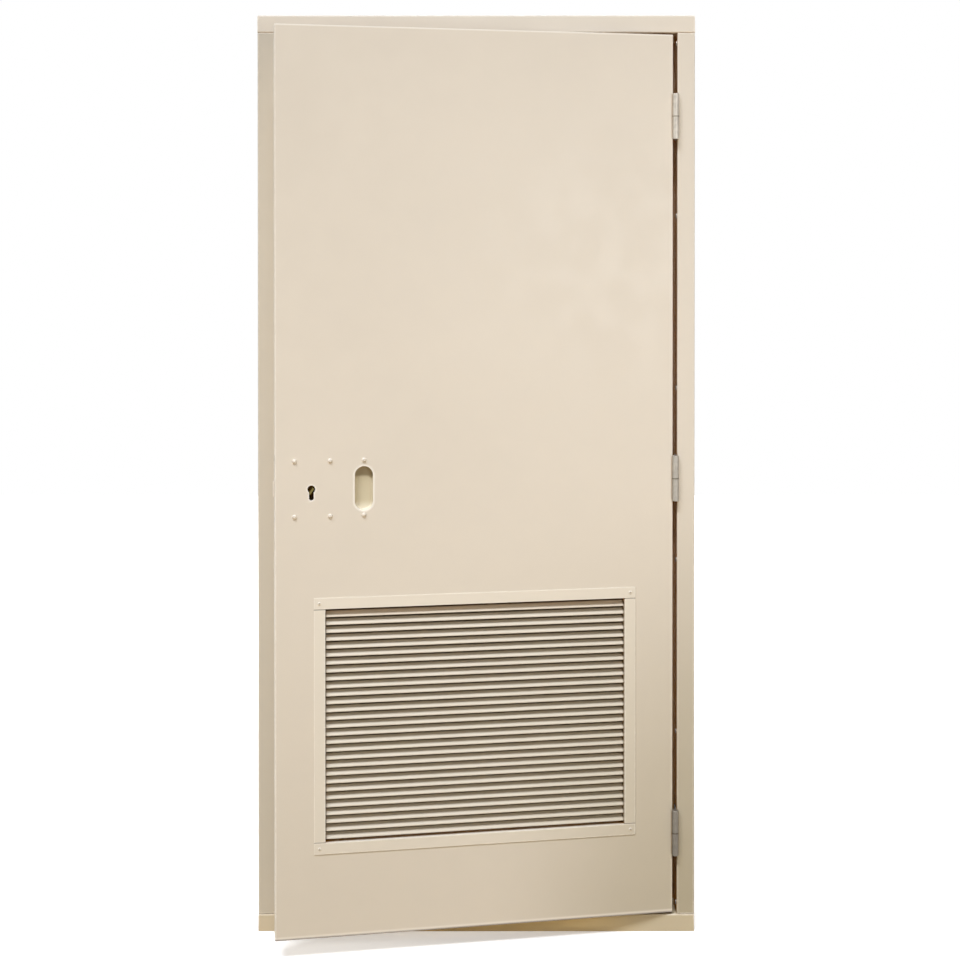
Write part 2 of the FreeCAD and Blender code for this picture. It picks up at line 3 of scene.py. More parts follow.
import json
import logging
import math
from dataclasses import dataclass
from enum import Enum

import bpy
from bpy.types import Material, Node, NodeSocket, NodeTree, Object
from mathutils import Matrix, Vector


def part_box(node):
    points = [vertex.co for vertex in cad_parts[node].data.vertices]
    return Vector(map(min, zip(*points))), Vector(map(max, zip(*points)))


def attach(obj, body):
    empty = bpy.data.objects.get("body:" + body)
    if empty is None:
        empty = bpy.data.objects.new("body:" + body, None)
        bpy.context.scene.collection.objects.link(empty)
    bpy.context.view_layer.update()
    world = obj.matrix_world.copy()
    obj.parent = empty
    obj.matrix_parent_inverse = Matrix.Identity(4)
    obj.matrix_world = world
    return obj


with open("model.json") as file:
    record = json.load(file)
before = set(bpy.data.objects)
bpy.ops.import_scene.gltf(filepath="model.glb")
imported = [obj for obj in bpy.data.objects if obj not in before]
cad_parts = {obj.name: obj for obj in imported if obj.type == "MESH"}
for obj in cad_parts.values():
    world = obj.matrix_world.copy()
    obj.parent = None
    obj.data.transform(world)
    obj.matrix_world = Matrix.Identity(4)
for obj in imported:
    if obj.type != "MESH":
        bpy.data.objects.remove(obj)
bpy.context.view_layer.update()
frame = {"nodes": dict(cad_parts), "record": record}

LOG = logging.getLogger("utility_door")
UP = Vector((0.0, 0.0, 1.0))
MM = 0.001
WHITE = (1.0, 1.0, 1.0, 1.0)
HINGES = ("top", "middle", "bottom")
Triple = tuple[float, float, float]
Marks = list[tuple[NodeSocket, Triple]]


class Body(Enum):
    """The two bodies that the pieces ride on."""

    FRAME = "frame"
    LEAF = "leaf"


class Slot(Enum):
    """The record's material slots."""

    FRAME_PAINT = "frame_paint"
    LEAF_PAINT = "leaf_paint"
    LOUVRE_PAINT = "louvre_paint"
    HINGE_STEEL = "hinge_steel"
    LOCK_STEEL = "lock_steel"
    CORE_FOAM = "core_foam"


class Drive(Enum):
    """What is cut into the top of a fastener's head."""

    PLAIN = "plain"
    CROSS = "cross"
    HOLLOW = "hollow"


class Tone:
    """Colours of the door's paint and of the marks on it, as they look on the screen."""

    CREAM = (229, 218, 201)
    PALE = (238, 228, 211)
    # Pale colour of edges paled by use, also a painted highlight on edges, bands and slot rims.
    WEAR_AND_HIGHLIGHT = (255, 248, 236)
    JOINT = (92, 80, 58)
    # Painted shade along the leaf's lowest edge.
    FOOT_SHADE = (104, 90, 82)
    # Painted light on the pull cup's foot.
    LIT_PULL_FOOT = (244, 236, 216)
    # Painted shadow under the pull cup's upper rim.
    PULL_SHADOW = (90, 60, 2)


def linear(colour: Triple) -> tuple[float, float, float, float]:
    """Turn a colour written as 0 to 255 into the renderer's linear one, by the sRGB curve.

    Args:
        colour: Red, green and blue as they look on the screen.

    Returns:
        The three linear channels and a full fourth one.
    """
    shares = [channel / 255.0 for channel in colour]
    straight = [s / 12.92 if s <= 0.04045 else ((s + 0.055) / 1.055) ** 2.4 for s in shares]
    return (*straight, 1.0)


@dataclass(frozen=True)
class Grain:
    """How fine a noise is: its cycles in a metre, and how many finer layers it adds."""

    scale: float
    detail: float


@dataclass
class Wiring:
    """A node tree with short ways to add its nodes and join them."""

    tree: NodeTree

    def feed(self, socket: NodeSocket, item: object) -> None:
        """Link a socket to another, or give it a plain value."""
        if isinstance(item, NodeSocket):
            self.tree.links.new(item, socket)
        else:
            socket.default_value = item

    def add(self, kind: str, inputs: dict | None = None, **settings: object) -> Node:
        """Add one node.

        Args:
            kind: The node's type name.
            inputs: What feeds each input, by the input's name or number.
            settings: Properties of the node itself.

        Returns:
            The new node.
        """
        node = self.tree.nodes.new(kind)
        for name, setting in settings.items():
            setattr(node, name, setting)
        for key, item in (inputs or {}).items():
            self.feed(node.inputs[key], item)
        return node

    def group(self, tree: NodeTree, inputs: dict) -> bpy.types.NodeOutputs:
        """Place an effect group with its own values."""
        return self.add("ShaderNodeGroup", inputs, node_tree=tree).outputs

    def math(self, operation: str, first: object, second: object = 0.0) -> NodeSocket:
        """Work out one sum on two values or sockets."""
        return self.add("ShaderNodeMath", {0: first, 1: second}, operation=operation).outputs[0]

    def spread(self, source: object, low: float, high: float,
               start: float = 0.0, end: float = 1.0) -> NodeSocket:
        """Carry a value smoothly from the range low to high over to start to end.

        Args:
            source: The socket that is read.
            low: The source value that gives start.
            high: The source value that gives end.
            start: The result at low.
            end: The result at high.

        Returns:
            The socket with the result, held between start and end.
        """
        inputs = {"Value": source, "From Min": low, "From Max": high, "To Min": start, "To Max": end}
        return self.add("ShaderNodeMapRange", inputs, interpolation_type="SMOOTHSTEP").outputs[0]

    def noise(self, where: NodeSocket, grain: Grain) -> NodeSocket:
        """Read a noise value at a place."""
        inputs = {"Vector": where, "Scale": grain.scale, "Detail": grain.detail}
        return self.add("ShaderNodeTexNoise", inputs).outputs[0]

    def mix(self, factor: object, under: object, over: object) -> NodeSocket:
        """Lay one colour over another by a factor."""
        node = self.add("ShaderNodeMix", {0: factor, 6: under, 7: over}, data_type="RGBA")
        return node.outputs[2]

    def place(self) -> NodeSocket:
        """Read the place on the piece, in the shared frame."""
        return self.add("ShaderNodeTexCoord").outputs["Object"]

    def axis(self, vector: NodeSocket, letter: str) -> NodeSocket:
        """Read one axis of a vector."""
        return self.add("ShaderNodeSeparateXYZ", {0: vector}).outputs[letter]

    def height(self) -> NodeSocket:
        """Read the height of the place."""
        return self.axis(self.place(), "Z")

    def normal(self) -> NodeSocket:
        """Read the direction that the face looks in."""
        return self.add("ShaderNodeNewGeometry").outputs["Normal"]

    def dot(self, first: NodeSocket, second: object) -> NodeSocket:
        """Measure one vector along another."""
        node = self.add("ShaderNodeVectorMath", {0: first, 1: second}, operation="DOT_PRODUCT")
        return node.outputs["Value"]

    def toned(self, colour: NodeSocket, change: NodeSocket, share: NodeSocket) -> NodeSocket:
        """Make a colour lighter and darker by a share of a change."""
        level = self.math("ADD", self.math("MULTIPLY", change, share), 1.0)
        return self.add("ShaderNodeHueSaturation", {"Value": level, "Color": colour}).outputs[0]

    def bumped(self, height: NodeSocket, strength: float, depth: float, rounding: float) -> NodeSocket:
        """Roughen the normal of a face whose edges are rounded."""
        rounded = self.add("ShaderNodeBevel", {"Radius": rounding}, samples=4).outputs[0]
        inputs = {"Strength": strength, "Distance": depth, "Height": height, "Normal": rounded}
        return self.add("ShaderNodeBump", inputs).outputs[0]

    def either(self, factor: NodeSocket, first: Node, second: Node) -> NodeSocket:
        """Blend two shaders by a factor."""
        inputs = {0: factor, 1: first.outputs[0], 2: second.outputs[0]}
        return self.add("ShaderNodeMixShader", inputs).outputs[0]


class Effects:
    """The surface effects that several finishes share, each one a node group built once."""

    BROAD = Grain(2.6, 3.0)
    BLOTCH = Grain(17.0, 4.0)
    PEEL = Grain(420.0, 2.0)
    WAVES = Grain(4.0, 1.0)
    CHIPS = Grain(55.0, 5.0)
    SPLASH = Grain(5.0, 4.0)
    LINES = Grain(1600.0, 3.0)
    CLOUD = Grain(90.0, 4.0)
    SWING = (0.3, 0.7)
    CHIP_SWING = (0.35, 0.62)
    SPLASH_SWING = (0.25, 0.75)
    BENT = (0.998, 0.92)
    HINGE_SIDE = (0.0, 0.45)
    LEVEL = (0.5, 1.0)
    CLOSED = (0.58, 0.2)
    FREE = (0.7, 0.95)
    LINE_STRETCH = (1.0, 1.0, 0.04)

    @staticmethod
    def start(name: str, inputs: dict[str, str], outputs: dict[str, str]) -> tuple[Wiring, dict, dict]:
        """Open a new group with named sockets.

        Args:
            name: The group's name.
            inputs: Socket types by input name.
            outputs: Socket types by output name.

        Returns:
            The group's wiring, its inputs as sources, and its outputs as targets.
        """
        wiring = Wiring(bpy.data.node_groups.new(name, "ShaderNodeTree"))
        for direction, sockets in (("INPUT", inputs), ("OUTPUT", outputs)):
            for label, kind in sockets.items():
                wiring.tree.interface.new_socket(name=label, in_out=direction,
                                                 socket_type="NodeSocket" + kind)
        enter = wiring.add("NodeGroupInput").outputs
        leave = wiring.add("NodeGroupOutput").inputs
        return wiring, {key: enter[key] for key in inputs}, {key: leave[key] for key in outputs}

    @classmethod
    def paint_film(cls) -> NodeTree:
        """Build sprayed paint: uneven tone, fine peel and the sheet's slow waves."""
        wiring, enter, leave = cls.start(
            "paint_film", {"Colour": "Color", "Mottle": "Float", "Peel": "Float", "Waves": "Float"},
            {"Colour": "Color", "Height": "Float", "Sheen": "Float"})
        where = wiring.place()
        broad = wiring.noise(where, cls.BROAD)
        blotch = wiring.noise(where, cls.BLOTCH)
        tone = wiring.math("ADD", wiring.spread(broad, *cls.SWING, -1.0, 1.0),
                           wiring.spread(blotch, *cls.SWING, -0.5, 0.5))
        wiring.feed(leave["Colour"], wiring.toned(enter["Colour"], tone, enter["Mottle"]))
        peel = wiring.math("MULTIPLY", wiring.noise(where, cls.PEEL), enter["Peel"])
        waves = wiring.math("MULTIPLY", wiring.noise(where, cls.WAVES), enter["Waves"])
        wiring.feed(leave["Height"], wiring.math("ADD", peel, waves))
        wiring.feed(leave["Sheen"], wiring.spread(blotch, *cls.SWING, -1.0, 1.0))
        return wiring.tree

    @classmethod
    def edge_wear_and_highlight(cls) -> NodeTree:
        """Build a mask of edges paled by use, which also paints a highlight along them."""
        wiring, enter, leave = cls.start(
            "edge_wear_and_highlight", {"Width": "Float", "Amount": "Float"}, {"Mask": "Float"})
        soft = wiring.add("ShaderNodeBevel", {"Radius": enter["Width"]}, samples=6).outputs[0]
        edge = wiring.spread(wiring.dot(soft, wiring.normal()), *cls.BENT)
        broken = wiring.spread(wiring.noise(wiring.place(), cls.CHIPS), *cls.CHIP_SWING, 0.55, 1.0)
        worn_highlight = wiring.math("MULTIPLY", edge, broken)
        wiring.feed(leave["Mask"], wiring.math("MULTIPLY", worn_highlight, enter["Amount"]))
        return wiring.tree

    @classmethod
    def low_shade_dirt_and_dust(cls) -> NodeTree:
        """Build a mask of painted shade and dirt that rises from the floor, more by the hinges, and of dust
        on level faces.
        """
        wiring, enter, leave = cls.start(
            "low_shade_dirt_and_dust",
            {"Start": "Float", "Reach": "Float", "Amount": "Float", "Hinge Side": "Float", "Dust": "Float"},
            {"Mask": "Float"})
        where = wiring.place()
        above = wiring.math("SUBTRACT", wiring.axis(where, "Z"), enter["Start"])
        low = wiring.spread(wiring.math("DIVIDE", above, enter["Reach"]), 0.0, 1.0, 1.0, 0.0)
        uneven = wiring.spread(wiring.noise(where, cls.SPLASH), *cls.SPLASH_SWING, 0.9, 1.0)
        aside = wiring.spread(wiring.axis(where, "X"), *cls.HINGE_SIDE)
        amount = wiring.math("ADD", wiring.math("MULTIPLY", aside, enter["Hinge Side"]), enter["Amount"])
        splash = wiring.math("MULTIPLY", wiring.math("MULTIPLY", low, uneven), amount)
        level = wiring.spread(wiring.axis(wiring.normal(), "Z"), *cls.LEVEL)
        film = wiring.math("MULTIPLY", level, enter["Dust"])
        wiring.feed(leave["Mask"], wiring.math("MAXIMUM", splash, film))
        return wiring.tree

    @classmethod
    def crevice_shade_masks(cls) -> NodeTree:
        """Build a mask that paints shade into the narrow places that little light reaches, and one of the
        places that stand free.
        """
        wiring, enter, leave = cls.start(
            "crevice_shade_masks", {"Depth": "Float", "Amount": "Float"}, {"Mask": "Float", "Free": "Float"})
        hidden = wiring.add("ShaderNodeAmbientOcclusion", {"Distance": enter["Depth"]}, samples=8)
        clear = hidden.outputs["AO"]
        closed = wiring.spread(clear, *cls.CLOSED)
        wiring.feed(leave["Mask"], wiring.math("MULTIPLY", closed, enter["Amount"]))
        wiring.feed(leave["Free"], wiring.spread(clear, *cls.FREE))
        return wiring.tree

    @classmethod
    def drawn_grain(cls) -> NodeTree:
        """Build the fine upright lines and cloudy bloom of plated steel."""
        wiring, enter, leave = cls.start(
            "drawn_grain", {"Colour": "Color", "Bloom": "Float"},
            {"Colour": "Color", "Height": "Float", "Sheen": "Float"})
        where = wiring.place()
        stretched = wiring.add("ShaderNodeMapping", {"Vector": where, "Scale": cls.LINE_STRETCH}).outputs[0]
        cloud = wiring.spread(wiring.noise(where, cls.CLOUD), *cls.SWING, -1.0, 1.0)
        wiring.feed(leave["Colour"], wiring.toned(enter["Colour"], cloud, enter["Bloom"]))
        wiring.feed(leave["Height"], wiring.noise(stretched, cls.LINES))
        wiring.feed(leave["Sheen"], cloud)
        return wiring.tree


@dataclass
class EffectSet:
    """The built effect groups, handed to every finish."""

    paint_film: NodeTree
    edge_wear_and_highlight: NodeTree
    low_shade_dirt_and_dust: NodeTree
    crevice_shade_masks: NodeTree
    drawn_grain: NodeTree

    @classmethod
    def build(cls) -> "EffectSet":
        """Build each group once."""
        return cls(Effects.paint_film(), Effects.edge_wear_and_highlight(), Effects.low_shade_dirt_and_dust(),
                   Effects.crevice_shade_masks(), Effects.drawn_grain())


def cleared(owner: Material | bpy.types.World) -> Wiring:
    """Switch on the nodes of a material or world and empty its tree."""
    owner.use_nodes = True
    owner.node_tree.nodes.clear()
    return Wiring(owner.node_tree)


def open_material(name: str) -> tuple[Material, Wiring, Node]:
    """Start a node material with its shader and output joined.

    Args:
        name: The material's name.

    Returns:
        The material, its wiring and its shader node.
    """
    material = bpy.data.materials.new(name)
    wiring = cleared(material)
    shader = wiring.add("ShaderNodeBsdfPrincipled")
    wiring.add("ShaderNodeOutputMaterial", {"Surface": shader.outputs[0]})
    return material, wiring, shader


@dataclass(frozen=True)
class PaintFinish:
    """Satin sprayed paint on steel sheet."""

    name: str
    colour: Triple
    mottle: float = 0.012
    peel: float = 0.35
    waves: float = 1.0
    roughness: float = 0.42
    # Colour of edges paled by use and of their painted highlight.
    worn_highlight: Triple = Tone.WEAR_AND_HIGHLIGHT
    wear_and_highlight: float = 0.9
    wear_and_highlight_width: float = 4.5 * MM
    rounding: float = 1.2 * MM
    rough_swing: float = 0.05
    shine: float = 0.5
    crevice_shade_shine: float = 0.05
    dirt_dulls: float = 0.4
    bump_strength: float = 0.5
    bump_depth: float = 0.25 * MM
    # Dirt colour, which also paints the shade low down and towards the hinges.
    dirt: Triple = (134, 122, 82)
    low_shade_and_dirt_start: float = 0.03
    low_shade_and_dirt_reach: float = 1.05
    low_shade_and_dirt_amount: float = 0.15
    low_shade_and_dirt_hinge_side: float = 0.36
    dust: float = 0.18
    # Colour of the painted shade in gaps, crevices and recesses.
    crevice_shade: Triple = (174, 118, 24)
    crevice_shade_depth: float = 30.0 * MM
    crevice_shade_amount: float = 1.0

    def marks(self, wiring: Wiring) -> Marks:
        """List the masks and colours of marks that only one kind of piece has. Plain sheet has none."""
        return []

    def material(self, effects: EffectSet) -> Material:
        """Make the paint's material.

        Args:
            effects: The shared effect groups.

        Returns:
            The finished material.
        """
        material, wiring, shader = open_material(self.name)
        film = wiring.group(effects.paint_film, {
            "Colour": linear(self.colour), "Mottle": self.mottle, "Peel": self.peel, "Waves": self.waves})
        wear_and_highlight = wiring.group(effects.edge_wear_and_highlight, {"Width": self.wear_and_highlight_width, "Amount": self.wear_and_highlight})
        # Darker low down and towards the hinges: painted shade with dirt, and dust on level faces.
        dirt = wiring.group(effects.low_shade_dirt_and_dust, {
            "Start": self.low_shade_and_dirt_start, "Reach": self.low_shade_and_dirt_reach, "Amount": self.low_shade_and_dirt_amount,
            "Hinge Side": self.low_shade_and_dirt_hinge_side, "Dust": self.dust})
        # Painted shade in gaps, crevices and recesses, found by ambient occlusion; it also lowers the shine
        # there.
        crevice_shade = wiring.group(effects.crevice_shade_masks, {"Depth": self.crevice_shade_depth, "Amount": self.crevice_shade_amount})
        soiled_and_shaded = wiring.mix(dirt["Mask"], film["Colour"], linear(self.dirt))
        # Paler edges: paled by use and a painted highlight, kept to edges that stand free.
        free_edges = wiring.math("MULTIPLY", wear_and_highlight["Mask"], crevice_shade["Free"])
        worn_and_highlighted = wiring.mix(free_edges, soiled_and_shaded, linear(self.worn_highlight))
        colour = wiring.mix(crevice_shade["Mask"], worn_and_highlighted, linear(self.crevice_shade))
        # Marks of each kind of piece, painted highlights and painted shade among them.
        for mask, mark in self.marks(wiring):
            colour = wiring.mix(mask, colour, linear(mark))
        wiring.feed(shader.inputs["Base Color"], colour)
        wiring.feed(shader.inputs["Specular IOR Level"],
                    wiring.spread(crevice_shade["Mask"], 0.0, 1.0, self.shine, self.crevice_shade_shine))
        sheen = wiring.spread(film["Sheen"], -1.0, 1.0, self.roughness - self.rough_swing,
                              self.roughness + self.rough_swing)
        dull = wiring.math("MULTIPLY", dirt["Mask"], self.dirt_dulls)
        wiring.feed(shader.inputs["Roughness"], wiring.math("ADD", sheen, dull))
        wiring.feed(shader.inputs["Normal"],
                    wiring.bumped(film["Height"], self.bump_strength, self.bump_depth, self.rounding))
        return material


@dataclass(frozen=True)
class LouvrePaint(PaintFinish):
    """Paint with painted shade deep between the louvre's blades and at their ends."""

    right: Triple = (1.0, 0.0, 0.0)
    out: Triple = (0.0, -1.0, 0.0)
    middle: Triple = (0.0, 0.0, 0.0)
    half_width: float = 0.0
    # Colour of the painted shade between the blades and at their ends.
    deep: Triple = (72, 56, 36)
    deep_from: float = 9.5 * MM
    deep_to: float = 6.0 * MM
    ends: float = 5.0 * MM
    ends_share: float = 0.75

    def off_middle(self, wiring: Wiring, along: Triple, middle: float) -> NodeSocket:
        """Measure how far a place lies from the louvre's middle, along one direction."""
        there = wiring.dot(wiring.place(), along)
        return wiring.math("ABSOLUTE", wiring.math("SUBTRACT", there, middle))

    def marks(self, wiring: Wiring) -> Marks:
        """Paint shade in the middle of the leaf's thickness and at the blades' ends.

        Args:
            wiring: The material's wiring.

        Returns:
            The mask and colour of the painted shade.
        """
        depth = wiring.spread(self.off_middle(wiring, self.out, self.middle[1]),
                              self.deep_from, self.deep_to)
        ends = wiring.spread(self.off_middle(wiring, self.right, self.middle[0]),
                             self.half_width - self.ends, self.half_width, 0.0, self.ends_share)
        return [(wiring.math("MAXIMUM", depth, ends), self.deep)]


@dataclass(frozen=True)
class Rim:
    """The edge of a slot with round ends, cut upright into the leaf's skin."""

    width: float
    low: float
    high: float
    radius: float

    def near(self, wiring: Wiring, across: NodeSocket, height: NodeSocket,
             reach: float) -> NodeSocket:
        """Mark the skin that lies close to the slot.

        Args:
            wiring: The material's wiring.
            across: The place along the leaf's width.
            height: The place's height.
            reach: How far from the edge the mark fades out.

        Returns:
            A mask that is full at the edge.
        """
        aside = wiring.math("SUBTRACT", across, self.width)
        beyond = wiring.math("MAXIMUM", wiring.math("SUBTRACT", height, self.high),
                             wiring.math("SUBTRACT", self.low, height))
        end = wiring.math("MAXIMUM", beyond, 0.0)
        squares = wiring.math("ADD", wiring.math("MULTIPLY", aside, aside),
                              wiring.math("MULTIPLY", end, end))
        return wiring.spread(wiring.math("SQRT", squares), self.radius + reach, self.radius)


@dataclass(frozen=True)
class Keyhole:
    """The profile-cylinder hole: a round eye over a narrower slot."""

    radius: float = 8.5 * MM
    slot: float = 10.0 * MM
    height: float = 33.0 * MM

    def rims(self, eye: Vector) -> tuple[Rim, ...]:
        """Outline the eye and the slot under it."""
        foot = eye.z + self.radius - self.height + 0.5 * self.slot
        return (Rim(eye.x, eye.z, eye.z, self.radius), Rim(eye.x, foot, eye.z, 0.5 * self.slot))


@dataclass(frozen=True)
class Band:
    """A level mark, which grows from nothing at one height to its share at another."""

    start: float
    full: float
    colour: Triple
    share: float


@dataclass(frozen=True)
class BandedPaint(PaintFinish):
    """Paint with level bands: painted highlights, painted shade and dark joint lines."""

    bands: tuple[Band, ...] = ()

    def marks(self, wiring: Wiring) -> Marks:
        """Read every band at the place's height.

        Args:
            wiring: The material's wiring.

        Returns:
            The mask and colour of each band.
        """
        height = wiring.height()
        return [(wiring.spread(height, band.start, band.full, 0.0, band.share), band.colour)
                for band in self.bands]


@dataclass(frozen=True)
class FlangePaint(BandedPaint):
    """Paint on the louvre's narrow flanges."""

    colour: Triple = Tone.PALE
    waves: float = 0.3
    wear_and_highlight_width: float = 3.5 * MM
    low_shade_and_dirt_amount: float = 0.17


@dataclass(frozen=True)
class LeafPaint(BandedPaint):
    """Paint on the leaf's front, with a painted highlight round its slots."""

    right: Triple = (1.0, 0.0, 0.0)
    rims: tuple[Rim, ...] = ()
    rim_reach: float = 5.0 * MM
    rim_share: float = 0.75

    def marks(self, wiring: Wiring) -> Marks:
        """Add the painted highlight round the slots to the bands.

        Args:
            wiring: The material's wiring.

        Returns:
            The mask and colour of each.
        """
        height = wiring.height()
        across = wiring.dot(wiring.place(), self.right)
        near = 0.0
        for rim in self.rims:
            near = wiring.math("MAXIMUM", near, rim.near(wiring, across, height, self.rim_reach))
        return [*super().marks(wiring), (wiring.math("MULTIPLY", near, self.rim_share), self.worn_highlight)]


@dataclass(frozen=True)
class SillPaint(PaintFinish):
    """Paint on the sill, with painted warm light on its front towards the middle of the doorway, where the
    leaf's shadow falls.
    """

    # Colour of the painted warm light on the sill's front.
    lit_front: Triple = (250, 226, 172)
    lit_front_from: float = 0.42
    lit_front_full: float = 0.2
    front_from: float = -0.5
    front_full: float = -0.9

    def marks(self, wiring: Wiring) -> Marks:
        """Paint warm yellow light on the front towards the middle of the doorway.

        Args:
            wiring: The material's wiring.

        Returns:
            The mask and colour of the painted light.
        """
        across = wiring.math("ABSOLUTE", wiring.axis(wiring.place(), "X"))
        middle = wiring.spread(across, self.lit_front_from, self.lit_front_full)
        front = wiring.spread(wiring.axis(wiring.normal(), "Y"), self.front_from, self.front_full)
        return [(wiring.math("MULTIPLY", middle, front), self.lit_front)]


@dataclass(frozen=True)
class PlatedFinish:
    """Plated steel with drawn lines and a cloudy bloom."""

    name: str
    colour: Triple
    bloom: float = 0.10
    roughness: float = 0.36
    rough_swing: float = 0.08
    metallic: float = 0.85
    rounding: float = 0.5 * MM
    bump_strength: float = 0.3
    bump_depth: float = 0.05 * MM
    # Dirt colour, which also paints shade on the lower hinges and fittings.
    dirt: Triple = (56, 45, 26)
    low_shade_and_dirt_reach: float = 1.9
    low_shade_and_dirt_amount: float = 0.8

    def material(self, effects: EffectSet) -> Material:
        """Make the plating's material.

        Args:
            effects: The shared effect groups.

        Returns:
            The finished material.
        """
        material, wiring, shader = open_material(self.name)
        grain = wiring.group(effects.drawn_grain, {"Colour": linear(self.colour), "Bloom": self.bloom})
        dirt = wiring.group(effects.low_shade_dirt_and_dust, {"Reach": self.low_shade_and_dirt_reach, "Amount": self.low_shade_and_dirt_amount})
        # Darker low down: painted shade with dirt.
        wiring.feed(shader.inputs["Base Color"],
                    wiring.mix(dirt["Mask"], grain["Colour"], linear(self.dirt)))
        wiring.feed(shader.inputs["Roughness"],
                    wiring.spread(grain["Sheen"], -1.0, 1.0, self.roughness - self.rough_swing,
                                  self.roughness + self.rough_swing))
        wiring.feed(shader.inputs["Metallic"], self.metallic)
        wiring.feed(shader.inputs["Normal"],
                    wiring.bumped(grain["Height"], self.bump_strength, self.bump_depth, self.rounding))
        return material


@dataclass(frozen=True)
class FoamFinish:
    """The cut faces of rigid foam board."""

    name: str
    colour: Triple
    mottle: float = 0.06
    roughness: float = 0.9
    cells: float = 900.0
    bump_strength: float = 0.6
    bump_depth: float = 0.4 * MM

    def material(self, effects: EffectSet) -> Material:
        """Make the foam's material.

        Args:
            effects: The shared effect groups.

        Returns:
            The finished material.
        """
        material, wiring, shader = open_material(self.name)
        film = wiring.group(effects.paint_film, {"Colour": linear(self.colour), "Mottle": self.mottle})
        wiring.feed(shader.inputs["Base Color"], film["Colour"])
        wiring.feed(shader.inputs["Roughness"], self.roughness)
        pores = wiring.add("ShaderNodeTexVoronoi", {"Vector": wiring.place(), "Scale": self.cells})
        bump = wiring.add("ShaderNodeBump", {"Strength": self.bump_strength, "Distance": self.bump_depth,
                                             "Height": pores.outputs[0]})
        wiring.feed(shader.inputs["Normal"], bump.outputs[0])
        return material


Finish = PaintFinish | PlatedFinish | FoamFinish


def aimed(spot: Vector, facing: Vector) -> Matrix:
    """Carry a fastener to a spot, with its own Z axis pointing the given way."""
    return Matrix.Translation(spot) @ facing.to_track_quat("Z", "Y").to_matrix().to_4x4()


@dataclass(frozen=True)
class Axes:
    """Level directions of one assembly: along its width, and out of its front face."""

    right: Vector
    out: Vector

    @classmethod
    def facing(cls, out: Vector) -> "Axes":
        """Take the width from the direction that the front faces."""
        return cls(UP.cross(out).normalized(), out.normalized())

    def local(self, point: Vector) -> Vector:
        """Give a point as width, outward distance and height."""
        return Vector((point.dot(self.right), point.dot(self.out), point.z))

    def spots(self, node: str) -> list[Vector]:
        """List a CAD node's corners along these directions."""
        return [self.local(vertex.co) for vertex in frame["nodes"][node].data.vertices]

    def span(self, node: str) -> tuple[Vector, Vector]:
        """Measure a CAD node along these directions.

        Args:
            node: The node's name.

        Returns:
            The lowest and the highest width, outward distance and height.
        """
        ranges = list(zip(*self.spots(node)))
        return Vector(map(min, ranges)), Vector(map(max, ranges))

    def seat(self, width: float, out: float, height: float, facing: Vector) -> Matrix:
        """Seat a fastener at a width, outward distance and height, its head facing the given way."""
        return aimed(self.right * width + self.out * out + UP * height, facing)


def deselect() -> None:
    """Leave edit mode and clear the selection."""
    if bpy.context.object is not None and bpy.context.object.mode != "OBJECT":
        bpy.ops.object.mode_set(mode="OBJECT")
    bpy.ops.object.select_all(action="DESELECT")


def pick(piece: Object) -> None:
    """Select one object alone and make it active."""
    deselect()
    piece.select_set(True)
    bpy.context.view_layer.objects.active = piece


def paint(piece: Object, material: Material) -> None:
    """Give an object one material in place of those it has."""
    piece.data.materials.clear()
    piece.data.materials.append(material)


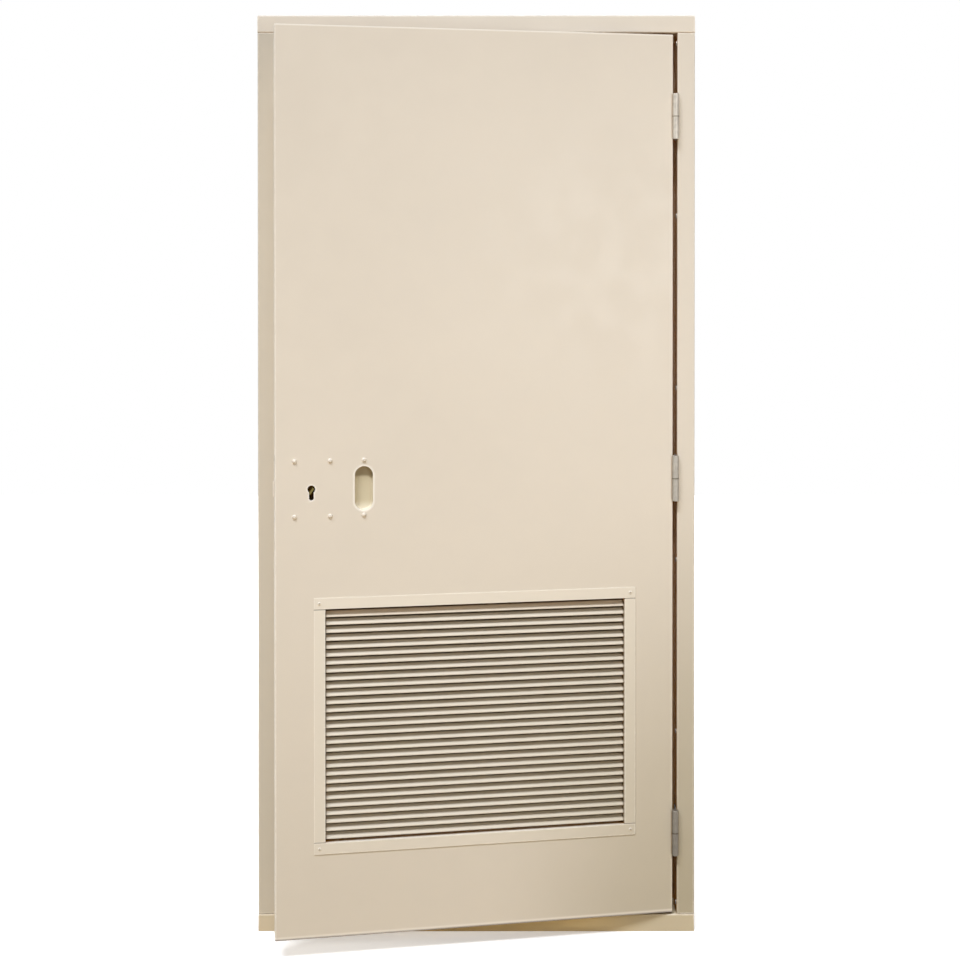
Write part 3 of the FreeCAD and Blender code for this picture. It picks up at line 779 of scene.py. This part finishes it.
@dataclass(frozen=True)
class FastenerHead:
    """A fastener's head, modelled about its own Z axis with its seat at z = 0."""

    name: str
    radius: float
    crown: float
    rim: float = 0.4 * MM
    drive: Drive = Drive.PLAIN
    drive_width: float = 0.9 * MM
    drive_depth: float = 0.9 * MM
    lip_share: float = 0.12
    slot_share: float = 1.15
    sides: int = 28
    rings: int = 5
    smooth: float = math.radians(50.0)

    def model(self) -> Object:
        """Raise the head from a disc, ring by ring, and cut its drive.

        Returns:
            The modelled head, to be copied to its seats.
        """
        deselect()
        bpy.ops.mesh.primitive_circle_add(vertices=self.sides, radius=self.radius, fill_type="NGON")
        head = bpy.context.object
        head.name = self.name + "_pattern"
        bpy.ops.object.mode_set(mode="EDIT")
        bpy.ops.mesh.select_all(action="SELECT")
        bpy.ops.mesh.extrude_region_move(TRANSFORM_OT_translate={"value": (0.0, 0.0, self.rim)})
        for ring in range(1, self.rings):
            before = 0.5 * math.pi * (ring - 1) / self.rings
            after = 0.5 * math.pi * ring / self.rings
            step_in = self.radius * (math.cos(before) - math.cos(after))
            rise = (self.crown - self.rim) * (math.sin(after) - math.sin(before))
            bpy.ops.mesh.inset(thickness=step_in)
            bpy.ops.transform.translate(value=(0.0, 0.0, rise))
        if self.drive is Drive.HOLLOW:
            bpy.ops.mesh.inset(thickness=self.lip_share * self.radius)
            bpy.ops.transform.translate(value=(0.0, 0.0, -self.drive_depth))
        bpy.ops.mesh.select_all(action="SELECT")
        bpy.ops.mesh.normals_make_consistent(inside=False)
        bpy.ops.object.mode_set(mode="OBJECT")
        if self.drive is Drive.CROSS:
            for turn in (0.0, 0.5 * math.pi):
                self.cut_slot(head, turn)
        pick(head)
        bpy.ops.object.shade_smooth_by_angle(angle=self.smooth)
        return head

    def cut_slot(self, head: Object, turn: float) -> None:
        """Cut one slot of a cross drive into the head.

        Args:
            head: The head that is cut.
            turn: The slot's angle about the head's axis.
        """
        deselect()
        bpy.ops.mesh.primitive_cube_add(size=1.0, location=(0.0, 0.0, self.crown),
                                        rotation=(0.0, 0.0, turn))
        cutter = bpy.context.object
        cutter.scale = (self.slot_share * self.radius, self.drive_width, 2.0 * self.drive_depth)
        bpy.ops.object.transform_apply(location=True, rotation=True, scale=True)
        pick(head)
        bpy.ops.object.modifier_add(type="BOOLEAN")
        cut = head.modifiers[-1]
        cut.operation = "DIFFERENCE"
        cut.object = cutter
        bpy.ops.object.modifier_apply(modifier=cut.name)
        pick(cutter)
        bpy.ops.object.delete()


@dataclass
class FastenerRow:
    """A set of like heads that share one piece."""

    name: str
    head: FastenerHead
    body: Body
    slot: Slot
    seats: list[Matrix]

    def build(self, material: Material) -> Object:
        """Copy the modelled head to every seat and join the copies.

        Args:
            material: The finish of the heads.

        Returns:
            The joined piece, riding on its body.
        """
        pattern = self.head.model()
        copies = []
        for seat in self.seats:
            pick(pattern)
            bpy.ops.object.duplicate(linked=False)
            copy = bpy.context.object
            copy.matrix_world = seat
            bpy.ops.object.transform_apply(location=True, rotation=True, scale=True)
            copies.append(copy)
        pick(pattern)
        bpy.ops.object.delete()
        pick(copies[0])
        for copy in copies:
            copy.select_set(True)
        bpy.ops.object.join()
        piece = bpy.context.object
        piece.name = self.name
        piece.data.name = self.name
        paint(piece, material)
        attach(piece, self.body.value)
        return piece


@dataclass(frozen=True)
class Finishes:
    """The finish of every slot, and of the nodes that differ from their slot."""

    leaf: Axes
    highlight_band_width: float = 5.0 * MM
    foot_shade_width: float = 5.0 * MM
    joint_width: float = 2.4 * MM
    lit_foot_from: float = 24.0 * MM
    lit_foot_full: float = 6.0 * MM
    pull_shadow_from: float = 27.0 * MM
    pull_shadow_full: float = 20.0 * MM

    def by_slot(self) -> dict[Slot, Finish]:
        """Give each of the record's slots its finish."""
        return {
            Slot.FRAME_PAINT: PaintFinish("cream_frame_paint", Tone.CREAM),
            Slot.LEAF_PAINT: PaintFinish("cream_leaf_paint", Tone.CREAM),
            Slot.LOUVRE_PAINT: FlangePaint("cream_louvre_paint"),
            Slot.HINGE_STEEL: PlatedFinish("zinc_hinge", (193, 186, 174), metallic=0.45),
            Slot.LOCK_STEEL: PlatedFinish("nickel_lock", (176, 170, 160), bloom=0.05, low_shade_and_dirt_amount=0.4),
            Slot.CORE_FOAM: FoamFinish("foam_core", (214, 200, 160)),
        }

    def front_skin(self) -> LeafPaint:
        """Paint highlights on the leaf's front along its top, above its foot and round its slots, and painted
        shade along its lowest edge.

        Returns:
            The front skin's finish.
        """
        low, high = self.leaf.span("front_skin")
        foot = low.z + self.foot_shade_width
        # The pale bands at top and foot are painted highlights; the lowest band is painted shade.
        bands = (Band(high.z - self.highlight_band_width, high.z, Tone.WEAR_AND_HIGHLIGHT, 0.7),
                 Band(foot + self.highlight_band_width, foot, Tone.WEAR_AND_HIGHLIGHT, 0.45),
                 Band(foot, low.z, Tone.FOOT_SHADE, 0.85))
        pull_low, pull_high = self.leaf.span("pull_cup")
        end = 0.5 * (pull_high.x - pull_low.x)
        pull = Rim(pull_low.x + end, pull_low.z + end, pull_high.z - end, end)
        eye = self.leaf.local(Vector(mount_named("cylinder_bore")["pos_m"]))
        return LeafPaint("leaf_paint_with_painted_light", Tone.CREAM, bands=bands, right=tuple(self.leaf.right),
                         rims=(pull, *Keyhole().rims(eye)))

    def pull_cup(self) -> BandedPaint:
        """Paint shadow under the pull's upper rim and light on its foot, over a paint darker and yellower
        than the leaf's.
        """
        low, high = self.leaf.span("pull_cup")
        # The first band is painted light, the second a painted shadow.
        bands = (Band(low.z + self.lit_foot_from, low.z + self.lit_foot_full, Tone.LIT_PULL_FOOT, 0.6),
                 Band(high.z - self.pull_shadow_from, high.z - self.pull_shadow_full, Tone.PULL_SHADOW, 0.43))
        return BandedPaint("pull_paint_with_painted_light", (211, 199, 169), shine=0.15, bands=bands)

    def blades(self) -> LouvrePaint:
        """Paint shade between the louvre's blades, on a cream darker than the flanges' that holds down the
        highlight on their slopes.
        """
        low, high = self.leaf.span("louvre_blades")
        return LouvrePaint(
            "blade_paint_with_painted_shade", (216, 204, 184), waves=0.3, wear_and_highlight_width=0.8 * MM, rounding=0.8 * MM,
            dust=0.0, crevice_shade_amount=0.1, right=tuple(self.leaf.right), out=tuple(self.leaf.out),
            middle=tuple(0.5 * (low + high)), half_width=0.5 * (high.x - low.x))

    def stile(self) -> FlangePaint:
        """Draw a dark line of dirt where the ends of the louvre's stiles meet the rails."""
        low, high = self.leaf.span("louvre_front_lock_stile")
        bands = (Band(high.z - self.joint_width, high.z, Tone.JOINT, 0.8),
                 Band(low.z + self.joint_width, low.z, Tone.JOINT, 0.8))
        return FlangePaint("jointed_stile_paint", bands=bands)

    def by_node(self) -> dict[str, Finish]:
        """Give the nodes that differ from their slot a finish of their own.

        Returns:
            The finishes by node.
        """
        washer = PlatedFinish("worn_washer", (138, 130, 116))
        stile = self.stile()
        finishes = {
            # Hinge jamb: strong painted shade with dirt low down.
            "hinge_jamb": PaintFinish("hinge_jamb_paint_with_painted_shade", (225, 214, 197), low_shade_and_dirt_start=0.05, low_shade_and_dirt_reach=1.2,
                                      low_shade_and_dirt_amount=0.66, low_shade_and_dirt_hinge_side=0.0),
            # Lock jamb: a darker cream that paints the shade of the leaf standing ajar in front of it.
            "lock_jamb": PaintFinish("lock_jamb_paint_with_painted_shade", (206, 196, 178), low_shade_and_dirt_reach=1.2, low_shade_and_dirt_amount=0.12,
                                     low_shade_and_dirt_hinge_side=0.0),
            "front_skin": self.front_skin(),
            # Head: less painted shade in its gaps, so the line over the leaf stays light.
            "head": PaintFinish("head_paint_with_less_painted_shade", Tone.CREAM, crevice_shade_amount=0.25),
            "sill": SillPaint("sill_paint_with_painted_light", (212, 197, 168), low_shade_and_dirt_start=0.1, low_shade_and_dirt_amount=0.0,
                              low_shade_and_dirt_hinge_side=0.25, dust=0.35, crevice_shade_amount=0.1),
            "louvre_blades": self.blades(),
            "pull_cup": self.pull_cup(),
            "dead_bolt": PaintFinish("painted_bolt", Tone.CREAM),
        }
        finishes |= {f"{place}_hinge_washer": washer for place in HINGES}
        finishes |= {f"louvre_{face}_{side}_stile": stile
                     for face in ("front", "rear") for side in ("hinge", "lock")}
        return finishes


@dataclass(frozen=True)
class Dressing:
    """The materials by slot, and those of the nodes that differ."""

    materials: dict[Slot, Material]
    special: dict[str, Material]

    @classmethod
    def mix(cls, effects: EffectSet, finishes: Finishes) -> "Dressing":
        """Make the material of every finish."""
        return cls({slot: finish.material(effects) for slot, finish in finishes.by_slot().items()},
                   {node: finish.material(effects) for node, finish in finishes.by_node().items()})

    def dress(self) -> None:
        """Paint every CAD node by the record's slots."""
        for entry in frame["record"]["subparts"]:
            node, slot = entry["node"], Slot(entry["material_slot"])
            paint(frame["nodes"][node], self.special.get(node, self.materials[slot]))
            LOG.info("dressed %s as %s", node, slot.value)


@dataclass
class LeafFasteners:
    """The heads on the swinging leaf: lock, pull, louvre and forend."""

    axes: Axes
    keyhole: Vector
    lock_spread: float = 78.0 * MM
    lock_rise: float = 122.0 * MM
    lock_shift: float = 2.0 * MM
    lock_lift: float = 1.5 * MM
    pull_rise: float = 121.5 * MM
    pull_lift: float = 2.2 * MM
    rivet_inset: float = 12.0 * MM
    forend_inset: float = 10.0 * MM
    lock_head: FastenerHead = FastenerHead("lock_bolt", 5.2 * MM, 4.0 * MM, 0.6 * MM)
    rivet: FastenerHead = FastenerHead("louvre_rivet", 3.8 * MM, 1.4 * MM, drive=Drive.HOLLOW,
                                       drive_depth=1.2 * MM, rings=3)
    forend_screw: FastenerHead = FastenerHead("forend_screw", 3.6 * MM, 0.5 * MM, 0.2 * MM, Drive.CROSS,
                                              drive_depth=0.4 * MM)

    def front_heads(self) -> list[Matrix]:
        """Seat the domed heads round the keyhole and over and under the pull.

        Returns:
            The six seats on the front skin.
        """
        face = self.axes.span("front_skin")[1].y
        eye = self.axes.local(self.keyhole)
        pull_low, pull_high = self.axes.span("pull_cup")
        pull = 0.5 * (pull_low.x + pull_high.x)
        spots = [(eye.x + self.lock_shift + side * 0.5 * self.lock_spread,
                  eye.z + self.lock_lift + rise * 0.5 * self.lock_rise)
                 for side in (-1, 1) for rise in (-1, 1)]
        spots += [(pull, eye.z + self.pull_lift + rise * 0.5 * self.pull_rise) for rise in (-1, 1)]
        return [self.axes.seat(x, face, z, self.axes.out) for x, z in spots]

    def rivets(self, side: str, facing: Vector) -> list[Matrix]:
        """Seat a rivet near each end of both level rails on one face.

        Args:
            side: Which face, front or rear.
            facing: The direction that the heads face.

        Returns:
            The four seats.
        """
        seats = []
        for rail in ("top_rail", "bottom_rail"):
            low, high = self.axes.span(f"louvre_{side}_{rail}")
            face = high.y if facing.dot(self.axes.out) > 0 else low.y
            middle = 0.5 * (low.z + high.z)
            for width in (low.x + self.rivet_inset, high.x - self.rivet_inset):
                seats.append(self.axes.seat(width, face, middle, facing))
        return seats

    def forend_screws(self) -> list[Matrix]:
        """Seat a screw near each end of the lock's forend."""
        low, high = self.axes.span("lock_forend")
        middle = 0.5 * (low.y + high.y)
        heights = (low.z + self.forend_inset, high.z - self.forend_inset)
        return [self.axes.seat(low.x, middle, height, -self.axes.right) for height in heights]

    def rows(self) -> list[FastenerRow]:
        """List the leaf's rows of fasteners."""
        out = self.axes.out
        return [
            FastenerRow("lock_and_pull_bolts", self.lock_head, Body.LEAF, Slot.LEAF_PAINT,
                        self.front_heads()),
            FastenerRow("louvre_front_rivets", self.rivet, Body.LEAF, Slot.LOUVRE_PAINT,
                        self.rivets("front", out)),
            FastenerRow("louvre_rear_rivets", self.rivet, Body.LEAF, Slot.LOUVRE_PAINT,
                        self.rivets("rear", -out)),
            FastenerRow("forend_screws", self.forend_screw, Body.LEAF, Slot.LOCK_STEEL, self.forend_screws()),
        ]


@dataclass(frozen=True)
class LockCam:
    """The brass cam that crosses the keyhole a little behind the skin."""

    axes: Axes
    keyhole: Vector
    finish: PlatedFinish = PlatedFinish("brass_cam", (104, 93, 50), bloom=0.2, low_shade_and_dirt_amount=0.0)
    length: float = 16.0 * MM
    width: float = 5.6 * MM
    thick: float = 2.4 * MM
    rounding: float = 0.9 * MM
    sink: float = 4.0 * MM
    drop: float = 4.5 * MM
    lean: float = math.radians(54.0)
    smooth: float = math.radians(40.0)

    def build(self, effects: EffectSet) -> Object:
        """Round a bar off and set it across the keyhole, its low end in the lock box.

        Args:
            effects: The shared effect groups.

        Returns:
            The cam, riding on the leaf.
        """
        deselect()
        bpy.ops.mesh.primitive_cube_add(size=1.0)
        cam = bpy.context.object
        cam.name = "lock_cam"
        cam.data.name = "lock_cam"
        cam.scale = (self.length, self.width, self.thick)
        bpy.ops.object.transform_apply(location=False, rotation=False, scale=True)
        bpy.ops.object.mode_set(mode="EDIT")
        bpy.ops.mesh.select_all(action="SELECT")
        bpy.ops.mesh.bevel(offset=self.rounding, segments=3, affect="EDGES")
        bpy.ops.object.mode_set(mode="OBJECT")
        bpy.ops.object.shade_smooth_by_angle(angle=self.smooth)
        eye = self.axes.local(self.keyhole)
        face = self.axes.span("front_skin")[1].y
        seat = self.axes.seat(eye.x, face - self.sink, eye.z - self.drop, self.axes.out)
        cam.matrix_world = seat @ Matrix.Rotation(self.lean, 4, "Z")
        bpy.ops.object.transform_apply(location=True, rotation=True, scale=True)
        paint(cam, self.finish.material(effects))
        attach(cam, Body.LEAF.value)
        return cam


@dataclass
class FrameFasteners:
    """The heads on the fixed frame: wall anchors in the rebates and screws in the keep."""

    keep_inset: float = 12.0 * MM
    anchor: FastenerHead = FastenerHead("wall_anchor", 6.0 * MM, 2.6 * MM, 0.8 * MM, Drive.CROSS)
    keep_screw: FastenerHead = FastenerHead("keep_screw", 3.6 * MM, 0.5 * MM, 0.2 * MM, Drive.CROSS,
                                            drive_depth=0.4 * MM)

    def anchors(self, jamb: str) -> list[Matrix]:
        """Seat an anchor in every fixing hole of a jamb, from the record's mounts.

        Args:
            jamb: The jamb's node name.

        Returns:
            One seat for each hole.
        """
        seats = []
        for mount in frame["record"]["mounts"]:
            if not mount["name"].startswith(jamb):
                continue
            middle = Vector(mount["pos_m"])
            for side in (-0.5, 0.5):
                spot = middle + UP * side * mount["dims"]["spacing_y_mm"] * MM
                seats.append(aimed(spot, Vector(mount["axis"])))
        return seats

    def keep_screws(self) -> list[Matrix]:
        """Seat a screw near each end of the keep plate."""
        low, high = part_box("keep_plate")
        doorway = Vector((1.0, 0.0, 0.0))
        middle = 0.5 * (low.y + high.y)
        heights = (low.z + self.keep_inset, high.z - self.keep_inset)
        return [aimed(Vector((high.x, middle, height)), doorway) for height in heights]

    def rows(self) -> list[FastenerRow]:
        """List the frame's rows of fasteners."""
        rows = [FastenerRow(jamb + "_anchors", self.anchor, Body.FRAME, Slot.LOCK_STEEL, self.anchors(jamb))
                for jamb in ("lock_jamb", "hinge_jamb")]
        rows.append(FastenerRow("keep_screws", self.keep_screw, Body.FRAME, Slot.LOCK_STEEL,
                                self.keep_screws()))
        return rows


@dataclass
class HingeScrews:
    """The flush screws in one half of every hinge, three to a plate."""

    half: str
    body: Body
    axes: Axes
    facing: Vector
    end_inset: float = 14.0 * MM
    rear_inset: float = 10.0 * MM
    middle_inset: float = 22.0 * MM
    screw: FastenerHead = FastenerHead("hinge_screw", 4.2 * MM, 0.5 * MM, 0.15 * MM, Drive.CROSS,
                                       drive_depth=0.35 * MM)

    def seats(self, place: str) -> list[Matrix]:
        """Seat the screws on one plate's bare face.

        Args:
            place: Which hinge, top, middle or bottom.

        Returns:
            The three seats.
        """
        node = f"{place}_hinge_{self.half}_half"
        low, high = self.axes.span(node)
        plate = [spot.x for spot in self.axes.spots(node) if spot.y < low.y + self.rear_inset]
        face = max(plate) if self.facing.dot(self.axes.right) > 0.0 else min(plate)
        places = ((self.rear_inset, low.z + self.end_inset), (self.middle_inset, 0.5 * (low.z + high.z)),
                  (self.rear_inset, high.z - self.end_inset))
        return [self.axes.seat(face, low.y + inset, height, self.facing) for inset, height in places]

    def rows(self) -> list[FastenerRow]:
        """List the screws of all three hinges as one row."""
        seats = [seat for place in HINGES for seat in self.seats(place)]
        return [FastenerRow(f"hinge_{self.half}_screws", self.screw, self.body, Slot.HINGE_STEEL, seats)]


@dataclass(frozen=True)
class Lamp:
    """A soft rectangular lamp, which the camera doesn't see."""

    name: str
    spot: Triple
    wide: float
    tall: float
    power: float
    aim: Triple = (0.0, -0.1, 1.0)
    colour: Triple = (255, 253, 250)

    def build(self) -> None:
        """Hang the lamp and aim it at the door."""
        deselect()
        bpy.ops.object.light_add(type="AREA", location=self.spot)
        lamp = bpy.context.object
        lamp.name = self.name
        lamp.visible_camera = False
        lamp.data.shape = "RECTANGLE"
        lamp.data.size = self.wide
        lamp.data.size_y = self.tall
        lamp.data.energy = self.power
        lamp.data.color = linear(self.colour)[:3]
        aim = Vector(self.aim) - Vector(self.spot)
        lamp.rotation_euler = aim.to_track_quat("-Z", "Y").to_euler()


@dataclass(frozen=True)
class Studio:
    """Pale floor, white surroundings, a long high strip in front, and soft panels in front and behind."""

    front_strength: float = 0.02
    rear_strength: float = 0.3
    turn_over: float = 0.35
    lamps: tuple[Lamp, ...] = (
        Lamp("high_strip", (-5.0, -14.08, 27.49), 20.0, 0.6, 11200.0, colour=(238, 244, 255)),
        Lamp("left_panel", (-2.0, -2.4, 1.7), 0.9, 0.9, 9.0),
        Lamp("right_panel", (1.5, -2.7, 1.6), 0.9, 0.9, 18.5),
        Lamp("rear_panel", (1.2, 4.5, 2.6), 3.0, 2.0, 150.0),
    )
    floor_colour: Triple = (186, 164, 126)
    floor_seen: Triple = (238, 235, 230)
    floor_size: float = 14.0
    top_up: float = 0.35
    top_up_from: float = 1.2
    top_up_to: float = 3.5

    def seen(self, wiring: Wiring) -> NodeSocket:
        """Tell rays that show the surroundings from rays that only carry light."""
        path = wiring.add("ShaderNodeLightPath")
        mirrored = wiring.math("MAXIMUM", path.outputs["Is Camera Ray"], path.outputs["Is Glossy Ray"])
        return wiring.math("MAXIMUM", mirrored, path.outputs["Is Transmission Ray"])

    def build_world(self) -> None:
        """Make surroundings that look white and give soft light, more of it from behind the door."""
        world = bpy.data.worlds.new("white_room")
        bpy.context.scene.world = world
        wiring = cleared(world)
        behind = wiring.axis(wiring.add("ShaderNodeTexCoord").outputs["Generated"], "Y")
        level = wiring.spread(behind, -self.turn_over, self.turn_over,
                              self.front_strength, self.rear_strength)
        light = wiring.add("ShaderNodeBackground", {"Color": WHITE, "Strength": level})
        white = wiring.add("ShaderNodeBackground", {"Color": WHITE, "Strength": 1.0})
        wiring.add("ShaderNodeOutputWorld", {"Surface": wiring.either(self.seen(wiring), light, white)})

    def build_floor(self) -> None:
        """Lay the floor, which looks pale, turns white away from the door and keeps its shadow."""
        deselect()
        bpy.ops.mesh.primitive_plane_add(size=self.floor_size)
        floor = bpy.context.object
        floor.name = "pale_floor"
        material = bpy.data.materials.new("pale_floor")
        wiring = cleared(material)
        warm = wiring.add("ShaderNodeBsdfDiffuse", {"Color": linear(self.floor_colour)})
        pale = wiring.add("ShaderNodeBsdfDiffuse", {"Color": linear(self.floor_seen)})
        reach = wiring.add("ShaderNodeVectorMath", {0: wiring.place()}, operation="LENGTH").outputs["Value"]
        glow = wiring.spread(reach, self.top_up_from, self.top_up_to, self.top_up, 1.0)
        white = wiring.add("ShaderNodeEmission", {"Color": WHITE, "Strength": glow})
        bright = wiring.add("ShaderNodeAddShader", {0: pale.outputs[0], 1: white.outputs[0]})
        wiring.add("ShaderNodeOutputMaterial", {"Surface": wiring.either(self.seen(wiring), warm, bright)})
        paint(floor, material)

    def build(self) -> None:
        """Set up the whole studio."""
        self.build_world()
        self.build_floor()
        for lamp in self.lamps:
            lamp.build()
        bpy.context.scene.view_settings.view_transform = "Standard"


@dataclass(frozen=True)
class PhotoCamera:
    """The photograph's camera, nearly level and framed by a shift."""

    spot: Triple = (0.0385, -3.5612, 1.4983)
    dip: float = 0.008
    lens: float = 57.47
    sensor: float = 36.0
    shift_x: float = -0.0136
    shift_y: float = -0.1971

    def build(self) -> None:
        """Place the camera and make it the scene's."""
        deselect()
        bpy.ops.object.camera_add(location=self.spot, rotation=(0.5 * math.pi - self.dip, 0.0, 0.0))
        camera = bpy.context.object
        camera.name = "photo_camera"
        camera.data.sensor_fit = "HORIZONTAL"
        camera.data.sensor_width = self.sensor
        camera.data.lens = self.lens
        camera.data.shift_x = self.shift_x
        camera.data.shift_y = self.shift_y
        bpy.context.scene.camera = camera


def mount_named(name: str) -> dict:
    """Find one of the record's mounts by its name."""
    return next(mount for mount in frame["record"]["mounts"] if mount["name"] == name)


def main() -> None:
    """Build the camera, studio, finishes and fasteners in order."""
    logging.basicConfig(level=logging.INFO, format="%(name)s: %(message)s")
    PhotoCamera().build()
    Studio().build()
    bore = mount_named("cylinder_bore")
    leaf_axes = Axes.facing(Vector(bore["axis"]))
    effects = EffectSet.build()
    dressing = Dressing.mix(effects, Finishes(leaf_axes))
    dressing.dress()
    leaf = LeafFasteners(leaf_axes, Vector(bore["pos_m"]))
    fixed_axes = Axes.facing(Vector((0.0, -1.0, 0.0)))
    hinge_rows = HingeScrews("jamb", Body.FRAME, fixed_axes, -fixed_axes.right).rows()
    hinge_rows += HingeScrews("leaf", Body.LEAF, leaf_axes, leaf_axes.right).rows()
    for row in leaf.rows() + FrameFasteners().rows() + hinge_rows:
        piece = row.build(dressing.materials[row.slot])
        LOG.info("built %s with %d heads", piece.name, len(row.seats))
    LockCam(leaf_axes, Vector(bore["pos_m"])).build(effects)


if __name__ == "__main__":
    main()
